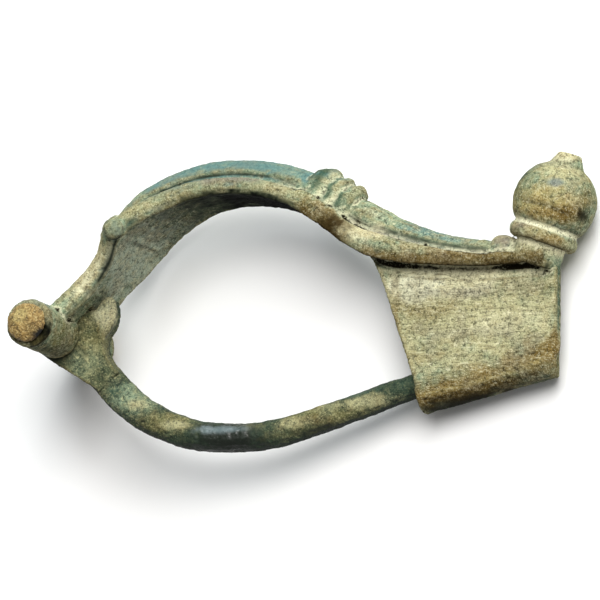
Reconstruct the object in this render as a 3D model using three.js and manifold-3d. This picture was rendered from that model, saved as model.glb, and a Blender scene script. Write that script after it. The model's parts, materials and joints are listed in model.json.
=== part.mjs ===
// A Roman hinged bow brooch: one cast body, a hinge bar through its rolled tube, and a pin.
// It is drawn upright about its hinge, x towards the foot, y across and z up to the crown,
// and then laid down on its side, the way a loose brooch rests. Lengths are millimetres.

import * as THREE from 'three';
import { ConvexHull } from 'three/addons/math/ConvexHull.js';
import { mergeVertices } from 'three/addons/utils/BufferGeometryUtils.js';
import Module from 'manifold-3d';

const wasm = await Module();
wasm.setup();

// ---- Driving dimensions ----

const TUBE_RADIUS = 2.15;
const TUBE_NEAR_END = -7.6;
const TUBE_FAR_END = 7.1;
const SLOT_HALF_WIDTH = 1.15;
const SLOT_RADIUS = 3.7;
const BORE_RADIUS = 1.15;
const BAR_RADIUS = 0.8;
const BAR_HEAD_RADIUS = 1.75;
const BAR_HEAD_RIM = 0.25;
const BAR_HEAD_DOME = 0.7;
const RUNNING_GAP = 0.3;

// Stations along the underside of the strap, from the hinge tube to the end of the foot:
// x and z, half the width, the height of the edge mouldings, and of the middle rib above them.
const STRAP = [
  { x: 1.6, z: 0.4, half: 4.7, edge: 2.0, rib: 0.15 },
  { x: 3.7, z: 2.5, half: 3.9, edge: 2.0, rib: 0.2 },
  { x: 5.2, z: 4.15, half: 3.75, edge: 1.85, rib: 0.35 },
  { x: 6.6, z: 5.75, half: 4.6, edge: 1.7, rib: 0.7 },
  { x: 7.6, z: 7.4, half: 5.6, edge: 1.7, rib: 1.3 },
  { x: 9.4, z: 8.95, half: 5.3, edge: 1.7, rib: 1.95 },
  { x: 11.6, z: 10.15, half: 4.5, edge: 1.65, rib: 2.2 },
  { x: 14.4, z: 11.1, half: 3.9, edge: 1.55, rib: 2.25 },
  { x: 17.5, z: 11.35, half: 3.7, edge: 1.5, rib: 2.2 },
  { x: 20.6, z: 10.9, half: 3.6, edge: 1.5, rib: 2.15 },
  { x: 23.4, z: 9.9, half: 3.4, edge: 1.5, rib: 2.15 },
  { x: 26.2, z: 8.0, half: 3.1, edge: 1.7, rib: 2.3 },
  { x: 29.0, z: 5.9, half: 2.9, edge: 1.9, rib: 2.5 },
  { x: 31.2, z: 4.75, half: 2.75, edge: 2.2, rib: 2.15 },
  { x: 34.5, z: 4.0, half: 2.5, edge: 1.9, rib: 1.8 },
  { x: 38.0, z: 3.6, half: 2.2, edge: 1.4, rib: 1.55 },
  { x: 42.0, z: 3.3, half: 1.9, edge: 1.1, rib: 1.45 },
  { x: 47.3, z: 3.4, half: 2.1, edge: 1.2, rib: 0.6 },
];
const STRAP_STEPS = 60;
const BAND_STEPS = 8;

// The strap's section: places across it as shares of its half width, and heights as shares of
// the edge moulding's.
const HOLLOW_REACH = 0.55;
const HOLLOW_DEPTH = 0.2;
const UNDER_EDGE = 0.9;
const EDGE_OUTER = 0.88;
const EDGE_INNER = 0.74;
const RIB_FOOT = 0.62;
const RIB_FOOT_UP = 0.72;
const EDGE_FACE_FROM = 0.3;
const EDGE_FACE_TO = 0.75;
const EDGE_LIP = 0.95;
const RIB_POINTS = 7;
const RIB_ROUNDNESS = 0.8;

// Bands that cross the strap over its top: where their feet lie, half their length along the
// strap, and how far their crests stand out. Three ribs, the bead at the shoulder, and the
// hump that ends the foot.
const BANDS = [
  { x: 24.3, halfLength: 1.0, proud: 1.1 },
  { x: 25.45, halfLength: 0.8, proud: 1.0 },
  { x: 26.5, halfLength: 0.65, proud: 0.85 },
  { x: 7.7, halfLength: 0.8, proud: 0.6 },
  { x: 43.1, halfLength: 1.15, proud: 0.55 },
];
// How a band's height is shared out over the rib, the edge mouldings and the strap's sides, and
// how high it lifts the rib's foot, so that the band runs on into the moulding.
const BAND_ON_RIB = 0.75;
const BAND_ON_EDGE = 0.3;
const BAND_ON_SIDES = 0.15;
const BAND_FOOT_UP = 1.0;
const BAND_FULL = 0.6;
const BAND_MARGIN = 1.1;

// The rod through the shoulder. Its near end has a knob, and its far knob has worn away.
const SHOULDER = { x: 7.65, z: 8.3, near: -6.2, far: 5.4, radius: 0.55, knob: 0.92 };

const FINIAL_BASE = { x: 45.85, z: 3.3 };
const FINIAL_TILT = THREE.MathUtils.degToRad(20);
const NECK_RADIUS = 2.25;
const NECK_FOOT = [2.0, 0.5];
const BALL_RADIUS = 3.78;
const BALL_HEIGHT = 5.9;
const BALL_STEPS = 12;
const BALL_TUCK = 1.25;
const TIP_FILLET = 1.6;
// The collar's and the tip's profiles, as [radius, height up the leaning axis] pairs.
const COLLAR = [[2.75, 2.15], [3.0, 2.35], [3.12, 2.7], [3.08, 3.1], [2.85, 3.4]];
const TIP = [[1.25, 10.0], [1.0, 10.45], [0, 10.55]];

const PLATE = {
  topLeft: [30.3, 5.2],
  underFoot: [31.3, 3.9],
  waistLeft: [32.0, 1.4],
  bottomLeft: [34.6, -6.6],
  bottomRight: [48.12, -4.66],
  topRight: [48.2, 4.3],
};
const PLATE_THICK = 1.05;
const GUTTER_WALL = 0.9;
const GUTTER_INNER_START = 1.5;
const GUTTER_INNER_END = 1.0;
const GUTTER_LIP = 0.9;
const GUTTER_CUT_BACK = 0.35;
const GUTTER_STEPS = 6;
const GUTTER_BENDS = 10;

// The pin's centre line from its lug to its tip, with its radius there.
const PIN_ROUTE = [
  { x: 2.0, y: 0.0, z: -2.0, radius: 1.25 },
  { x: 4.3, y: 0.1, z: -4.2, radius: 1.45 },
  { x: 7.9, y: 0.3, z: -7.55, radius: 1.45 },
  { x: 12.4, y: 0.6, z: -9.7, radius: 1.4 },
  { x: 16.4, y: 0.9, z: -10.25, radius: 1.33 },
  { x: 20.4, y: 1.2, z: -10.1, radius: 1.3 },
  { x: 27.9, y: 1.8, z: -8.15, radius: 1.2 },
  { x: 33.6, y: 2.03, z: -6.55, radius: 1.15 },
  { x: 40.0, y: 1.85, z: -5.8, radius: 0.85 },
  { x: 45.6, y: 1.65, z: -5.05, radius: 0.4 },
];
const PIN_STEPS = 44;
const PIN_SIDES = 14;
const LUG_HALF_WIDTH = 0.85;
const LUG_RADIUS = 2.35;
const LUG_ARC_FROM = Math.PI * 1.25;
const LUG_ARC_TO = Math.PI * 0.28;
const LUG_FREE_FROM = 4.5;
const LUG_FREE_TO = 8;
const LUG_SPREAD = 0.6;

// The stop that rises from the lug against the head plate, and the crook where the pin leaves.
const STOP = {
  heel: [3.75, 2.05],
  shoulder: [4.5, 2.85],
  corner: [5.3, 3.3],
  toe: [5.4, 2.5],
  belly: [5.6, 1.0],
  waist: [4.7, -0.2],
  crook: [3.8, -1.7],
  pinTop: [5.9, -3.8],
  pinBottom: [4.0, -5.4],
};

// How finely round shapes are faceted.
const ROD_SIDES = 24;
const HEAD_SIDES = 28;
const HEAD_STEPS = 4;
const FINIAL_SIDES = 32;
const SLOT_SIDES = 32;
const TUBE_SIDES = 36;
const KNOB_SIDES = 16;
const KNOB_BANDS = 10;
const PLATE_CURVE_STEPS = 6;
const LUG_CURVE_STEPS = 10;

// ---- Solids ----

/** A closed three.js geometry as a solid that can be joined and cut. */
function solid(geometry) {
  const bare = geometry.index ? geometry.clone() : mergeVertices(geometry);
  bare.deleteAttribute('normal');
  bare.deleteAttribute('uv');
  const merged = mergeVertices(bare, 1e-4);
  const vertProperties = Float32Array.from(merged.attributes.position.array);
  const triVerts = Uint32Array.from(merged.index.array);
  if (signedVolume(merged) < 0) triVerts.reverse();
  return new wasm.Manifold(new wasm.Mesh({ numProp: 3, vertProperties, triVerts }));
}

/** Six times the volume inside a closed geometry, below zero when its faces point inwards. */
function signedVolume(geometry) {
  const place = geometry.attributes.position;
  const corner = (i) => new THREE.Vector3().fromBufferAttribute(place, geometry.index.array[i]);
  let sum = 0;
  for (let i = 0; i < geometry.index.count; i += 3) {
    sum += corner(i).dot(corner(i + 1).cross(corner(i + 2)));
  }
  return sum;
}

/** A solid back as a named mesh. */
function piece(name, body, material) {
  const { vertProperties, triVerts, numProp } = body.getMesh();
  const positions = new Float32Array((vertProperties.length / numProp) * 3);
  for (let i = 0; i < positions.length / 3; i++) {
    for (let k = 0; k < 3; k++) positions[3 * i + k] = vertProperties[numProp * i + k];
  }
  const geometry = new THREE.BufferGeometry();
  geometry.setAttribute('position', new THREE.BufferAttribute(positions, 3));
  geometry.setIndex(Array.from(triVerts));
  geometry.computeVertexNormals();
  const mesh = new THREE.Mesh(geometry, material);
  mesh.name = name;
  return mesh;
}

const join = (solids) => solids.reduce((sum, next) => sum.add(next));

/** A column whose rings of points are given by ringAt(step), each with the same count. */
function loft(ringAt, sides, steps) {
  const geometry = new THREE.CylinderGeometry(1, 1, 1, sides, steps);
  const place = geometry.attributes.position;
  const rings = Array.from({ length: steps + 1 }, (_, step) => ringAt(step));
  for (let i = 0; i < place.count; i++) {
    const ring = rings[Math.round((0.5 - place.getY(i)) * steps)];
    const onRim = Math.hypot(place.getX(i), place.getZ(i)) > 0.5;
    const turn = Math.atan2(place.getX(i), place.getZ(i)) / (2 * Math.PI);
    const side = (Math.round(turn * sides) + sides) % sides;
    const at = onRim ? ring[side] : middleOf(ring);
    place.setXYZ(i, at.x, at.y, at.z);
  }
  return solid(geometry);
}

function middleOf(ring) {
  const sum = new THREE.Vector3();
  for (const point of ring) sum.add(point);
  return sum.divideScalar(ring.length);
}

/** A round rod across the brooch with its middle at x, z. */
function crossRod(radius, from, to, x, z, sides = ROD_SIDES) {
  const geometry = new THREE.CylinderGeometry(radius, radius, to - from, sides);
  geometry.translate(0, (from + to) / 2, 0);
  geometry.translate(x, 0, z);
  return solid(geometry);
}

/** A lathe-turned solid across the brooch, from a profile of [radius, y] pairs. */
function crossTurned(profile, x, z, sides = ROD_SIDES) {
  const geometry = new THREE.LatheGeometry(profile.map(([r, y]) => new THREE.Vector2(r, y)), sides);
  geometry.translate(x, 0, z);
  return solid(geometry);
}

// ---- The body's strap: head plate, bow and foot ----

/** The strap's cross-section, as [across, up] pairs once round it. */
function strapSection({ half, edge, rib, footUp = RIB_FOOT_UP }) {
  const foot = half * RIB_FOOT;
  const side = [
    [half * HOLLOW_REACH, HOLLOW_DEPTH / 2], [half * UNDER_EDGE, 0],
    [half, edge * EDGE_FACE_FROM], [half, edge * EDGE_FACE_TO],
    [half * EDGE_OUTER, edge], [half * EDGE_INNER, edge * EDGE_LIP],
  ];
  const rise = edge * (1 - footUp) + rib;
  const ribSide = Array.from({ length: RIB_POINTS }, (_, i) => {
    const turn = (Math.PI * i) / (RIB_POINTS - 1);
    return [foot * Math.cos(turn), edge * footUp + rise * Math.sin(turn) ** RIB_ROUNDNESS];
  });
  const otherSide = side.map(([across, up]) => [-across, up]).reverse();
  return [[0, HOLLOW_DEPTH], ...side, ...ribSide, ...otherSide];
}

const strapLine = new THREE.CatmullRomCurve3(STRAP.map((s) => new THREE.Vector3(s.x, 0, s.z)));
const strapSizes = new THREE.CatmullRomCurve3(
  STRAP.map((s) => new THREE.Vector3(s.half, s.edge, s.rib)), false, 'catmullrom', 0.5);

/** How far along the strap its underside reaches x. */
function strapAt(x) {
  let low = 0;
  let high = 1;
  while (high - low > 1e-4) {
    const middle = (low + high) / 2;
    if (strapLine.getPoint(middle).x < x) low = middle;
    else high = middle;
  }
  return low;
}

/** Each band with its middle and its half length as shares of the strap. */
const placedBands = BANDS.map(({ x, halfLength, proud }) => {
  const middle = strapAt(x);
  const step = 0.01;
  const reach = strapLine.getPoint(middle).distanceTo(strapLine.getPoint(middle + step));
  return { middle, half: (halfLength * step) / reach, proud };
});

/** How far the bands stand out at t. */
function swell(t) {
  return Math.max(0, ...placedBands.map(({ middle, half, proud }) =>
    proud * Math.sqrt(Math.max(0, 1 - ((t - middle) / half) ** 2))));
}

/** The strap's section in place at t along it. */
function strapRing(t) {
  const foot = strapLine.getPoint(t);
  const along = strapLine.getTangent(t);
  const size = strapSizes.getPoint(t);
  const proud = swell(t);
  const section = strapSection({
    half: size.x + proud * BAND_ON_SIDES,
    edge: size.y + proud * BAND_ON_EDGE,
    rib: size.z + proud * BAND_ON_RIB,
    footUp: THREE.MathUtils.lerp(RIB_FOOT_UP, BAND_FOOT_UP, Math.min(1, proud / BAND_FULL)),
  });
  return section.map(([across, up]) =>
    new THREE.Vector3(foot.x - along.z * up, across, foot.z + along.x * up));
}

/** The strap in one loft, with closer steps over the bands. */
function strap() {
  const steps = Array.from({ length: STRAP_STEPS + 1 }, (_, i) => i / STRAP_STEPS)
    .filter((t) => placedBands.every(({ middle, half }) => Math.abs(t - middle) > half * BAND_MARGIN));
  for (const { middle, half } of placedBands) {
    for (let i = 0; i <= BAND_STEPS; i++) {
      steps.push(middle - half * Math.cos((Math.PI * i) / BAND_STEPS));
    }
  }
  steps.sort((one, other) => one - other);
  return loft((step) => strapRing(steps[step]), strapSection(STRAP[0]).length, steps.length - 1);
}

/** The rod through the shoulder, ending in a small knob on the near side. */
function shoulder() {
  const { x, z, near, far, radius } = SHOULDER;
  const knob = new THREE.SphereGeometry(SHOULDER.knob, KNOB_SIDES, KNOB_BANDS).translate(x, near, z);
  return join([crossRod(radius, near, far, x, z), solid(knob)]);
}

// ---- The finial: neck, collar, ball and tip on a leaning axis ----

function finial() {
  const ballFrom = Math.PI - Math.asin(NECK_RADIUS / BALL_RADIUS) * BALL_TUCK;
  const ballTo = Math.asin(TIP_FILLET / BALL_RADIUS);
  const profile = [[0, 0], [NECK_FOOT[0], 0], [NECK_RADIUS, NECK_FOOT[1]]];
  profile.push([NECK_RADIUS, COLLAR[0][1]], ...COLLAR);
  for (let i = 0; i <= BALL_STEPS; i++) {
    const turn = THREE.MathUtils.lerp(ballFrom, ballTo, i / BALL_STEPS);
    profile.push([BALL_RADIUS * Math.sin(turn), BALL_HEIGHT + BALL_RADIUS * Math.cos(turn)]);
  }
  profile.push(...TIP);
  const points = profile.map(([r, y]) => new THREE.Vector2(r, y));
  const geometry = new THREE.LatheGeometry(points, FINIAL_SIDES);
  geometry.rotateX(Math.PI / 2);
  geometry.rotateY(FINIAL_TILT);
  geometry.translate(FINIAL_BASE.x, 0, FINIAL_BASE.z);
  return solid(geometry);
}

// ---- The catch-plate and its gutter ----

function plate() {
  const outline = new THREE.Shape();
  outline.moveTo(...PLATE.topLeft);
  outline.quadraticCurveTo(...PLATE.underFoot, ...PLATE.waistLeft);
  outline.lineTo(...PLATE.bottomLeft);
  outline.lineTo(...PLATE.bottomRight);
  outline.lineTo(...PLATE.topRight);
  outline.closePath();
  const geometry = new THREE.ExtrudeGeometry(outline, {
    depth: PLATE_THICK, bevelEnabled: false, curveSegments: PLATE_CURVE_STEPS,
  });
  geometry.rotateX(Math.PI / 2);
  geometry.translate(0, PLATE_THICK / 2, 0);
  return solid(geometry);
}

/** The turned-up foot of the plate: a J in section, narrowing towards the pin's tip. */
function gutter() {
  const ringAt = (step) => {
    const t = step / GUTTER_STEPS;
    const inner = THREE.MathUtils.lerp(GUTTER_INNER_START, GUTTER_INNER_END, t);
    const outer = inner + GUTTER_WALL;
    const x = THREE.MathUtils.lerp(PLATE.bottomLeft[0], PLATE.bottomRight[0], t);
    const z = THREE.MathUtils.lerp(PLATE.bottomLeft[1], PLATE.bottomRight[1], t);
    const centre = PLATE_THICK / 2 + inner;
    const ring = [];
    const put = (y, up) => ring.push(new THREE.Vector3(x - t * GUTTER_CUT_BACK * Math.max(y, 0), y, up));
    const bend = (radius, turn) => put(centre - radius * Math.cos(turn), z - radius * Math.sin(turn));
    put(-PLATE_THICK / 2, z + GUTTER_LIP);
    for (let i = 0; i <= GUTTER_BENDS; i++) {
      const share = i / GUTTER_BENDS;
      bend(THREE.MathUtils.lerp(inner + PLATE_THICK, outer, share), Math.PI * share);
    }
    put(centre + outer, z + GUTTER_LIP);
    put(centre + inner, z + GUTTER_LIP);
    for (let i = GUTTER_BENDS; i >= 0; i--) bend(inner, (Math.PI * i) / GUTTER_BENDS);
    put(PLATE_THICK / 2, z + GUTTER_LIP);
    return ring;
  };
  return gutterFromRings(ringAt);
}

/** A J-shaped section can't be capped from its middle, so each wall of it is a loft of its own. */
function gutterFromRings(ringAt) {
  const count = ringAt(0).length;
  const cells = [];
  for (let i = 0; i < count / 2 - 1; i++) {
    const corners = [i, i + 1, count - 2 - i, count - 1 - i];
    cells.push(loft((step) => {
      const ring = ringAt(step);
      return corners.map((corner) => ring[corner]);
    }, corners.length, GUTTER_STEPS));
  }
  return join(cells);
}

// ---- The three pieces ----

function broochBody() {
  const tube = crossRod(TUBE_RADIUS, TUBE_NEAR_END, TUBE_FAR_END, 0, 0, TUBE_SIDES);
  const grown = join([strap(), tube, shoulder(), finial(), plate(), gutter()]);
  const slot = crossRod(SLOT_RADIUS, -SLOT_HALF_WIDTH, SLOT_HALF_WIDTH, 0, 0, SLOT_SIDES);
  const bore = crossRod(BORE_RADIUS, TUBE_NEAR_END - 1, TUBE_FAR_END + 1, 0, 0);
  return grown.subtract(bore).subtract(slot);
}

/** The bar through the tube, its two ends peened into domed heads. */
function hingeBar() {
  const head = (end, outward) => {
    const points = [[BAR_RADIUS, end], [BAR_HEAD_RADIUS, end]];
    for (let i = 0; i < HEAD_STEPS; i++) {
      const turn = (i * Math.PI) / (2 * HEAD_STEPS);
      const out = BAR_HEAD_RIM + BAR_HEAD_DOME * Math.sin(turn);
      points.push([BAR_HEAD_RADIUS * Math.cos(turn), end + outward * out]);
    }
    points.push([0, end + outward * (BAR_HEAD_RIM + BAR_HEAD_DOME)]);
    return points;
  };
  const near = head(TUBE_NEAR_END - RUNNING_GAP, -1).reverse();
  return crossTurned([...near, ...head(TUBE_FAR_END + RUNNING_GAP, 1)], 0, 0, HEAD_SIDES);
}

function pin() {
  const line = new THREE.CatmullRomCurve3(PIN_ROUTE.map((p) => new THREE.Vector3(p.x, p.y, p.z)));
  const radii = new THREE.CatmullRomCurve3(
    PIN_ROUTE.map((p) => new THREE.Vector3(p.radius, 0, 0)));
  const across = new THREE.Vector3(0, 1, 0);
  const wire = loft((step) => {
    const t = step / PIN_STEPS;
    const centre = line.getPoint(t);
    const up = new THREE.Vector3().crossVectors(line.getTangent(t), across).normalize();
    const radius = radii.getPoint(t).x;
    return Array.from({ length: PIN_SIDES }, (_, side) => {
      const turn = (2 * Math.PI * side) / PIN_SIDES;
      return centre.clone()
        .addScaledVector(up, radius * Math.cos(turn))
        .addScaledVector(across, Math.min(radius, squeeze(centre.x)) * Math.sin(turn));
    });
  }, PIN_SIDES, PIN_STEPS);
  const outline = new THREE.Shape();
  outline.absarc(0, 0, LUG_RADIUS, LUG_ARC_FROM, LUG_ARC_TO, true);
  outline.lineTo(...STOP.heel);
  outline.lineTo(...STOP.shoulder);
  outline.quadraticCurveTo(...STOP.corner, ...STOP.toe);
  outline.quadraticCurveTo(...STOP.belly, ...STOP.waist);
  outline.quadraticCurveTo(...STOP.crook, ...STOP.pinTop);
  outline.lineTo(...STOP.pinBottom);
  outline.closePath();
  const lug = new THREE.ExtrudeGeometry(outline, {
    depth: 2 * LUG_HALF_WIDTH, bevelEnabled: false, curveSegments: LUG_CURVE_STEPS,
  });
  lug.rotateX(Math.PI / 2);
  lug.translate(0, LUG_HALF_WIDTH, 0);
  const bore = crossRod(BAR_RADIUS + RUNNING_GAP, -5, 5, 0, 0);
  return wire.add(solid(lug)).subtract(bore);
}

/** Half the pin's thickness across, held to the lug's until it is clear of the slot. */
function squeeze(x) {
  return LUG_HALF_WIDTH + LUG_SPREAD * THREE.MathUtils.smoothstep(x, LUG_FREE_FROM, LUG_FREE_TO);
}

// ---- Materials and the group, laid down on its side ----

const patina = new THREE.MeshStandardMaterial({ color: 0xa9ab85, roughness: 0.75, metalness: 0.2 });
const worn = new THREE.MeshStandardMaterial({ color: 0x9a8b5c, roughness: 0.6, metalness: 0.4 });
const dark = new THREE.MeshStandardMaterial({ color: 0x4f6451, roughness: 0.5, metalness: 0.3 });

const upright = new THREE.Group();
upright.add(piece('brooch_body', broochBody(), patina));
upright.add(piece('hinge_bar', hingeBar(), worn));
upright.add(piece('pin', pin(), dark));

/** The outward normal of the hull facet that the brooch rests on with its far side down. */
function restingNormal(group) {
  const hull = new ConvexHull().setFromObject(group);
  const middle = new THREE.Box3().setFromObject(group).getCenter(new THREE.Vector3());
  const down = new THREE.Ray(middle, new THREE.Vector3(0, 1, 0));
  let best = null;
  for (const face of hull.faces) {
    const reach = down.distanceToPlane(new THREE.Plane(face.normal, -face.constant));
    if (reach === null || face.normal.y <= 0) continue;
    if (best === null || reach < best.reach) best = { reach, normal: face.normal.clone() };
  }
  return best.normal;
}

const floorwards = restingNormal(upright);
const alongRow = new THREE.Vector3(1, 0, 0).projectOnPlane(floorwards).normalize();
const upRow = floorwards.clone().negate();
const acrossRow = new THREE.Vector3().crossVectors(upRow, alongRow);
const turned = new THREE.Matrix4().makeBasis(alongRow, acrossRow, upRow).invert();
upright.applyMatrix4(turned);
upright.updateMatrixWorld(true);
const bounds = new THREE.Box3().setFromObject(upright, true);
const middle = bounds.getCenter(new THREE.Vector3());
upright.position.sub(new THREE.Vector3(middle.x, middle.y, bounds.min.z));

const brooch = new THREE.Group();
brooch.add(upright);

export default brooch;
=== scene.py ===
"""A Roman hinged bow brooch in patinated copper alloy, lying on its side on a pale floor."""

import json
import logging
import math
from dataclasses import dataclass, field
from enum import Enum
from typing import Any, Iterable

import bmesh
import bpy
import numpy as np
from mathutils import Matrix, Vector, noise


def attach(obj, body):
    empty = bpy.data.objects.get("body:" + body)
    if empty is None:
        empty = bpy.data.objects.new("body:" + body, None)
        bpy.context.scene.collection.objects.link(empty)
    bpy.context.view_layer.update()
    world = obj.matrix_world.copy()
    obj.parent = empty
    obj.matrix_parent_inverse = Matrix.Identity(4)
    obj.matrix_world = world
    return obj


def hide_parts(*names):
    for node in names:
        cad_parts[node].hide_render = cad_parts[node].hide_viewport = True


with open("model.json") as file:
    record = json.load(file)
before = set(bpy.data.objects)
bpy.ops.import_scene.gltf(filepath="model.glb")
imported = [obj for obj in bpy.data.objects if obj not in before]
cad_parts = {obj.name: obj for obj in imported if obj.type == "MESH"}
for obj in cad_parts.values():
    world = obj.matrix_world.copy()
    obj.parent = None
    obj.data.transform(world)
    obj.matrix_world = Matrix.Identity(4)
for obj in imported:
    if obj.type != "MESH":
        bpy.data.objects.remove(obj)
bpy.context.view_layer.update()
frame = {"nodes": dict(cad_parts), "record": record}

log = logging.getLogger("brooch")

MM = 0.001
Colour = tuple[float, float, float]
Spot = tuple[float, float, float]
Route = tuple[Spot, ...]


class Solid(Enum):
    """The solids that the pieces are grown from."""

    BODY = "brooch_body"
    BAR = "hinge_bar"
    PIN = "pin"


class Mover(Enum):
    """The bodies that the pieces ride on."""

    BROOCH = "brooch"
    PIN = "pin"


class Slot(Enum):
    """The material slots of the record."""

    BODY = "patinated_bronze"
    BAR = "bar_bronze"
    PIN = "pin_bronze"


class Layer(Enum):
    """What is stored at each point of a piece for its material."""

    # The colour of each point, with its painted shade and painted highlights.
    STAIN_AND_PAINTED_LIGHT = "stain"
    HOLLOW = "hollow"
    RIDGE = "ridge"
    GLOSS = "gloss"
    CALM = "calm"
    BRUSHED = "brushed"
    FILL = "fill"


class Way(Enum):
    """The two directions of a shader group's socket."""

    IN = "INPUT"
    OUT = "OUTPUT"


class Kind(Enum):
    """The kinds of a shader group's socket."""

    NUMBER = "NodeSocketFloat"
    COLOUR = "NodeSocketColor"


# ---- The brooch's own upright frame ----


@dataclass
class UprightFrame:
    """The frame that the brooch is described in: x to the foot, y to the far side, z to the crown.

    Its origin is the middle of the hinge. Lengths in it are millimetres.
    """

    hinge: str = "pin_hinge"
    mark: str = "catch_plate_face"
    mark_along: float = 40.5
    mark_below: float = 1.2
    to_row: Matrix = field(init=False)

    def __post_init__(self) -> None:
        """Works the frame out from the record's hinge and its marked plate face."""
        record = frame["record"]
        joint = next(j for j in record["behaviour"]["joints"] if j["name"] == self.hinge)
        mark = next(m for m in record["mounts"] if m["name"] == self.mark)
        origin = Vector(joint["pos_m"])
        far = Vector(joint["axis"]).normalized()
        reach = Vector(mark["pos_m"]) - origin
        reach -= far * reach.dot(far)
        lift = reach.cross(far)
        along = (reach * self.mark_along + lift * self.mark_below).normalized()
        up = along.cross(far)
        turn = Matrix((along, far, up)).transposed().to_4x4()
        self.to_row = Matrix.Translation(origin) @ turn @ Matrix.Scale(MM, 4)

    def point(self, x: float, y: float, z: float) -> Vector:
        """Gives an upright point's place in the row frame, in metres."""
        return self.to_row @ Vector((x, y, z))

    def direction(self, x: float, y: float, z: float) -> Vector:
        """Gives an upright direction in the row frame, of unit length."""
        return (self.to_row.to_3x3() @ Vector((x, y, z))).normalized()


# ---- Shared shader groups ----


class NodeBook:
    """Short ways to lay out shader nodes in one tree."""

    def __init__(self, tree: bpy.types.NodeTree) -> None:
        """Keeps the tree that the nodes go into."""
        self.tree = tree

    def add(self, kind: str, **settings: Any) -> bpy.types.Node:
        """Adds a node of a kind and sets its properties.

        Args:
            kind: The node's type name.
            **settings: Its properties by name.

        Returns:
            The new node.
        """
        node = self.tree.nodes.new(kind)
        for name, value in settings.items():
            setattr(node, name, value)
        return node

    def link(self, source: Any, target: Any) -> None:
        """Links an output socket to an input socket."""
        self.tree.links.new(source, target)

    def feed(self, socket: Any, value: Any) -> None:
        """Links a socket's source, or sets its plain value.

        Args:
            socket: The input that is fed.
            value: Another node's output, a colour or a number.
        """
        if isinstance(value, bpy.types.NodeSocket):
            self.link(value, socket)
        elif isinstance(value, tuple) and len(value) == 3 and socket.type == "RGBA":
            socket.default_value = (*value, 1.0)
        else:
            socket.default_value = value

    def math(self, operation: str, one: Any, other: Any = 0.0, clamp: bool = False) -> Any:
        """Adds a maths node.

        Args:
            operation: What it works out.
            one: The first output or number.
            other: The second output or number.
            clamp: Whether the result stays between 0 and 1.

        Returns:
            The node's result.
        """
        node = self.add("ShaderNodeMath", operation=operation, use_clamp=clamp)
        self.feed(node.inputs[0], one)
        self.feed(node.inputs[1], other)
        return node.outputs[0]

    def mix(self, factor: Any, one: Any, other: Any, blend: str = "MIX") -> Any:
        """Mixes two colours.

        Args:
            factor: How much of the other colour shows.
            one: The colour below.
            other: The colour above.
            blend: How the two are blended.

        Returns:
            The mixed colour.
        """
        node = self.add("ShaderNodeMix", data_type="RGBA", blend_type=blend)
        inputs = {socket.identifier: socket for socket in node.inputs}
        outputs = {socket.identifier: socket for socket in node.outputs}
        self.feed(inputs["Factor_Float"], factor)
        self.feed(inputs["A_Color"], one)
        self.feed(inputs["B_Color"], other)
        return outputs["Result_Color"]

    def steps(self, value: Any, low: float, high: float) -> Any:
        """Turns a value into 0 at low, 1 at high and a smooth change between.

        Args:
            value: The output that is read.
            low: Where the result is 0.
            high: Where the result is 1, which may be the lower of the two.

        Returns:
            The smoothed result.
        """
        node = self.add("ShaderNodeMapRange", interpolation_type="SMOOTHSTEP")
        self.feed(node.inputs["Value"], value)
        node.inputs["From Min"].default_value = low
        node.inputs["From Max"].default_value = high
        return node.outputs["Result"]

    def noise(self, place: Any, scale: float, detail: float = 3.0, rough: float = 0.55) -> Any:
        """Adds a noise texture.

        Args:
            place: The coordinates that it reads.
            scale: Its cells to a millimetre.
            detail: Its number of finer layers.
            rough: How strongly the finer layers show.

        Returns:
            The noise, of about 0 to 1.
        """
        node = self.add("ShaderNodeTexNoise", normalize=True)
        self.feed(node.inputs["Vector"], place)
        node.inputs["Scale"].default_value = scale / MM
        node.inputs["Detail"].default_value = detail
        node.inputs["Roughness"].default_value = rough
        return node.outputs["Fac"]


def group_socket(tree: bpy.types.NodeTree, name: str, way: Way, kind: Kind,
                 value: Any = None) -> None:
    """Adds a named input or output to a shader node group.

    Args:
        tree: The group.
        name: The socket's name.
        way: Whether it is an input or an output.
        kind: Whether it holds a number or a colour.
        value: The default, for an input.
    """
    socket = tree.interface.new_socket(name=name, in_out=way.value, socket_type=kind.value)
    if value is not None:
        socket.default_value = value


@dataclass(frozen=True)
class Effect:
    """Where a tone starts to show and is whole, on what it follows, and how strong it is."""

    start: float
    whole: float
    strength: float = 1.0


WARMTH = Effect(0.47, 0.62)
CLOUDS = Effect(0.5, 0.62, 0.4)
SETTLED = Effect(0.5, 0.8)
RUBBED = Effect(0.55, 0.95)
DEPTHS = Effect(0.22, 0.5)
DARK_GRAINS = Effect(0.49, 0.38, 0.7)
PALE_GRAINS = Effect(0.54, 0.66, 0.7)
FLECKS = Effect(0.56, 0.66, 0.75)
NICKS = Effect(0.44, 0.36, 0.55)
DIM_STREAKS = Effect(0.48, 0.36, 0.6)
BRIGHT_STREAKS = Effect(0.56, 0.7, 0.7)


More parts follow.
